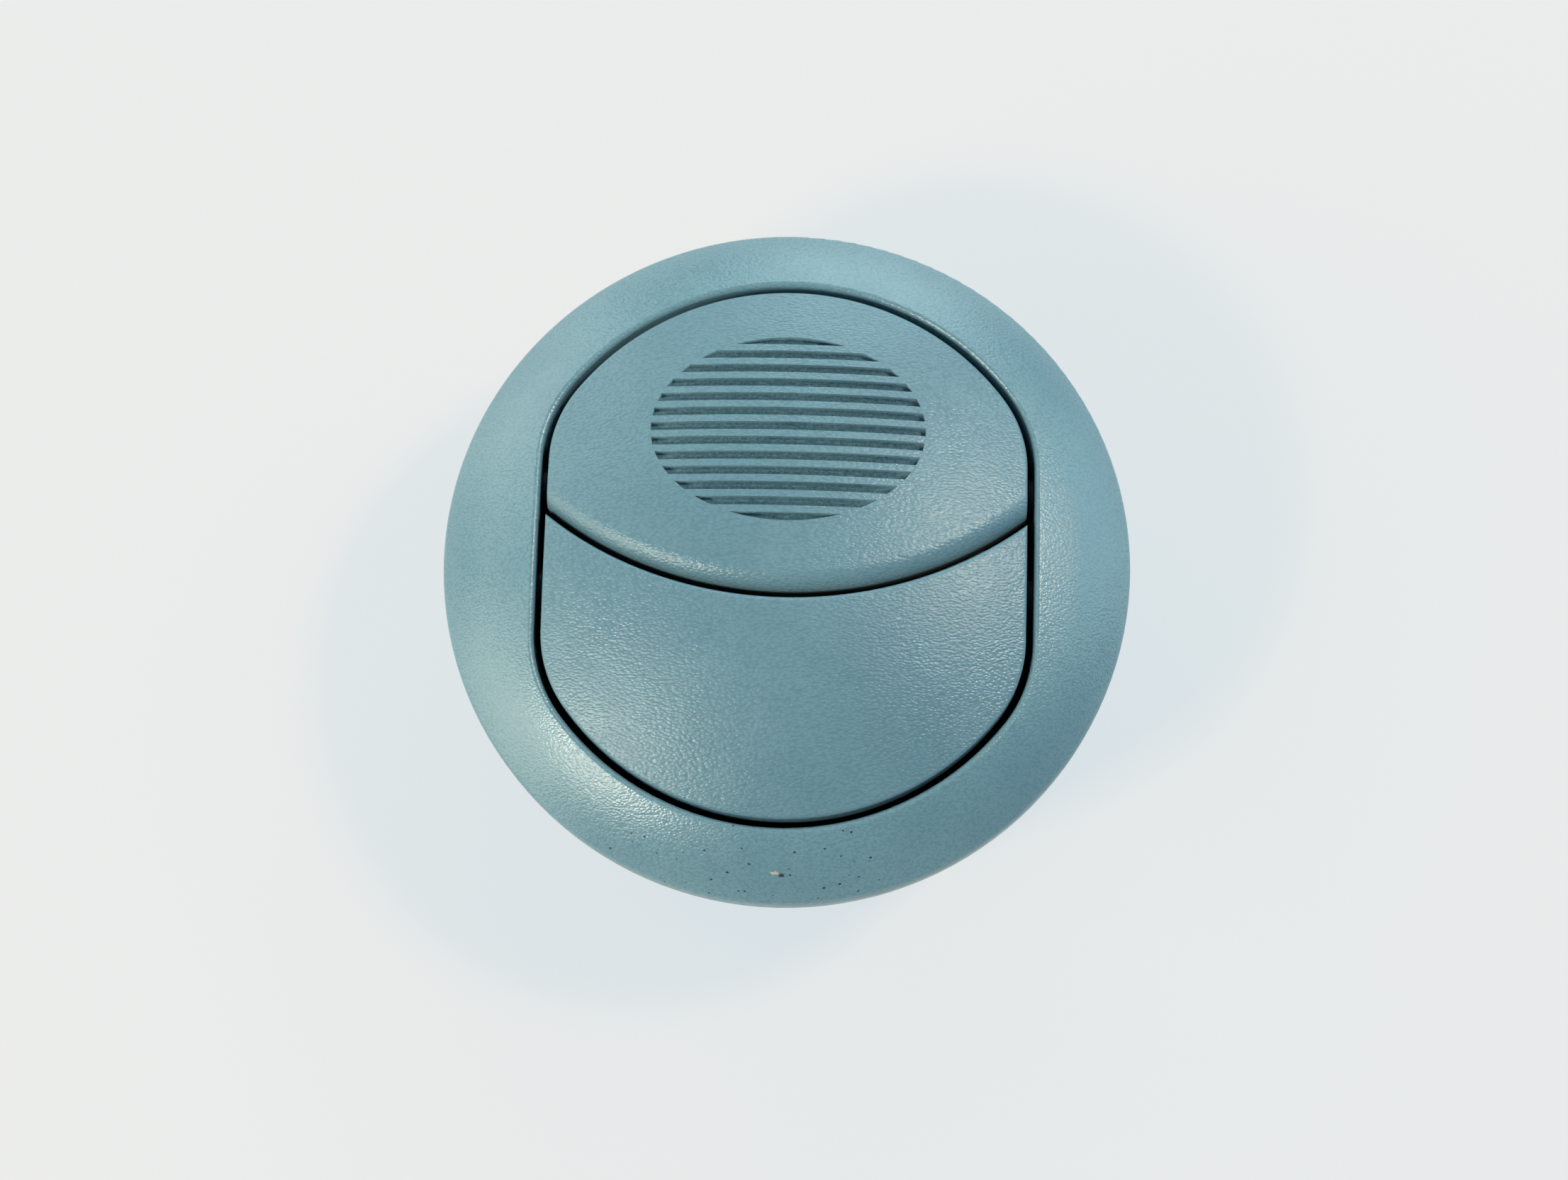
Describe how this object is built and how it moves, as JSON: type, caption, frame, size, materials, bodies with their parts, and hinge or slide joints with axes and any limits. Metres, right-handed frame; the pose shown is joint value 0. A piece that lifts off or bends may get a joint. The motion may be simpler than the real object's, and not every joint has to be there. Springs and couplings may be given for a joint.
{
  "type": "dashboard air vent",
  "caption": "Round swivelling dashboard air vent: a domed bezel with a flat-sided opening closed by two linked tilting flaps, one with a grooved grip, in a snap-in collar.",
  "frame": {"origin": "on the vent's axis at the collar's rear end, on which it lies", "axes": "+Z out of the vent's face along the swivel axis, +Y towards the grooved flap's far edge, X along the flap shafts"},
  "size_m": [0.088, 0.088, 0.0457],
  "materials": {
    "face_plastic": "fine moulded grain, blue-grey",
    "black_plastic": "plain moulded, black",
    "acetal": "plain moulded, natural white",
    "soft_bush": "matt silicone",
    "foam": "open-cell foam"
  },
  "bodies": {
    "collar": {"mounting_collar": "black_plastic", "duct_seal": "foam"},
    "nozzle": {"bezel_ring": "face_plastic", "barrel": "black_plastic", "slip_ring": "acetal", "upper_left_bush": "black_plastic", "lower_left_bush": "black_plastic", "upper_right_bush": "soft_bush", "lower_right_bush": "soft_bush"},
    "upper_flap_set": {"upper_flap": "face_plastic", "upper_crank": "acetal", "upper_pivot_pin": "acetal"},
    "lower_flap_set": {"lower_flap": "face_plastic", "lower_crank": "acetal", "lower_pivot_pin": "acetal"},
    "link": {"link_rod": "black_plastic"}
  },
  "joints": [
    {"name": "nozzle_swivel", "type": "hinge", "parent": "collar", "child": "nozzle", "pos_m": [0, 0, 0], "axis": [0, 0, 1], "continuous": true},
    {"name": "upper_flap_tilt", "type": "hinge", "parent": "nozzle", "child": "upper_flap_set", "pos_m": [0, 0.0086, 0.0338], "axis": [-1, 0, 0], "range_deg": [0, 60]},
    {"name": "lower_flap_tilt", "type": "hinge", "parent": "nozzle", "child": "lower_flap_set", "pos_m": [0, -0.0047, 0.0338], "axis": [-1, 0, 0], "range_deg": [0, 60]},
    {"name": "link_swing", "type": "hinge", "parent": "upper_flap_set", "child": "link", "pos_m": [0, 0.0086, 0.0283], "axis": [-1, 0, 0], "range_deg": [-60, 0]}
  ],
  "couplings": [
    {"joint": "lower_flap_tilt", "follows": "upper_flap_tilt", "ratio": 1},
    {"joint": "link_swing", "follows": "upper_flap_tilt", "ratio": -1}
  ]
}
